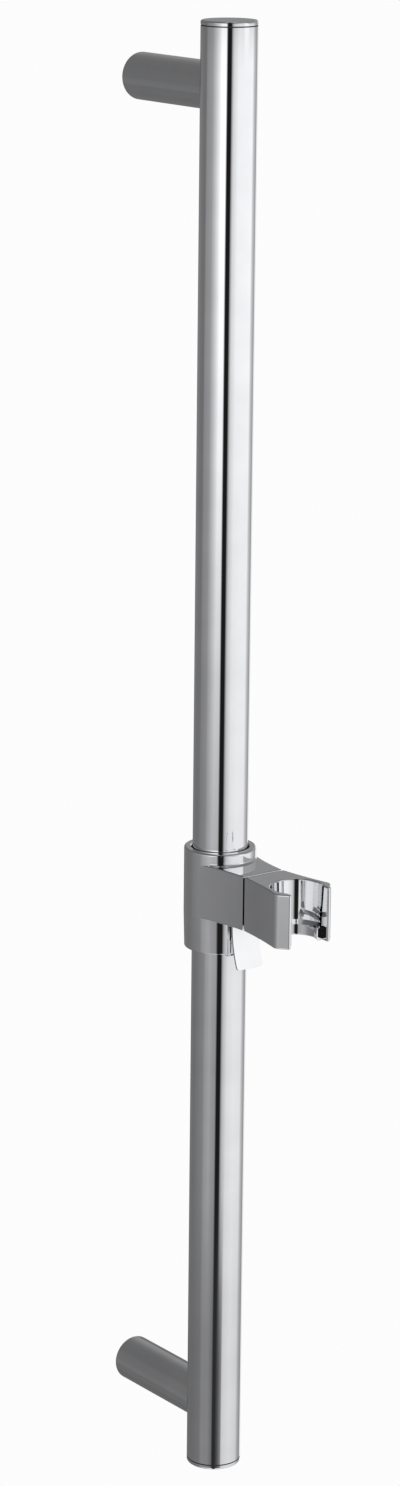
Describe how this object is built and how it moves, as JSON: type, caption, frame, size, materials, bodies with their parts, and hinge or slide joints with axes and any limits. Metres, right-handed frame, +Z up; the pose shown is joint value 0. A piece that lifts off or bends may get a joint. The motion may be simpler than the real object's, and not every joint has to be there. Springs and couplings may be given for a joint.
{
  "type": "shower slide rail",
  "caption": "Round chromed wall rail on stand-off posts, with a sliding, swivelling collar, release lever and tilting open cradle that holds a hand shower.",
  "frame": {"origin": "on the wall plane, midway between the two wall fixings", "axes": "+Z up along the rail, +Y into the wall, so the object stands out towards -Y; X across the rail"},
  "size_m": [0.0326, 0.1315, 0.668],
  "materials": {
    "chrome_tube": "bright chrome on drawn tube",
    "chrome_fitting": "bright chrome on turned metal",
    "chrome_cast": "bright chrome on moulded form",
    "nylon": "dark moulded nylon",
    "rubber": "black rubber",
    "steel": "turned stainless steel",
    "brass": "turned brass"
  },
  "bodies": {
    "rail": {"rail_tube": "chrome_tube", "upper_end_cap": "chrome_fitting", "lower_end_cap": "chrome_fitting", "upper_cap_ring": "rubber", "lower_cap_ring": "rubber", "upper_post": "chrome_fitting", "lower_post": "chrome_fitting", "upper_post_screw": "steel", "lower_post_screw": "steel", "upper_rail_insert": "brass", "lower_rail_insert": "brass", "upper_wall_spigot": "brass", "lower_wall_spigot": "brass", "upper_grub_screw": "steel", "lower_grub_screw": "steel"},
    "guide_rings": {"upper_bush": "nylon", "lower_bush": "nylon"},
    "slider": {"slider_body": "chrome_cast", "lever_pin": "steel", "brake_spring": "steel"},
    "lever": {"release_lever": "chrome_cast", "brake_pad": "rubber"},
    "cradle": {"holder": "chrome_cast", "pivot_screw": "steel", "spring_washer": "steel", "friction_washer": "nylon"}
  },
  "joints": [
    {"name": "slider_height", "type": "slide", "parent": "rail", "child": "guide_rings", "axis": [0, 0, 1], "range_m": [-0.2125, 0.3275]},
    {"name": "slider_swivel", "type": "hinge", "parent": "guide_rings", "child": "slider", "pos_m": [0, -0.065, -0.0524], "axis": [0, 0, 1], "range_deg": [-90, 90]},
    {"name": "lever_press", "type": "hinge", "parent": "slider", "child": "lever", "pos_m": [0, -0.0853, -0.062], "axis": [1, 0, 0], "range_deg": [0, 10], "stiffness_Nm_per_rad": 0.56, "springref_deg": -20.05, "deforming": ["brake_spring"]},
    {"name": "cradle_tilt", "type": "hinge", "parent": "slider", "child": "cradle", "pos_m": [0, -0.08, -0.0524], "axis": [0, 1, 0], "range_deg": [-90, 90]}
  ]
}
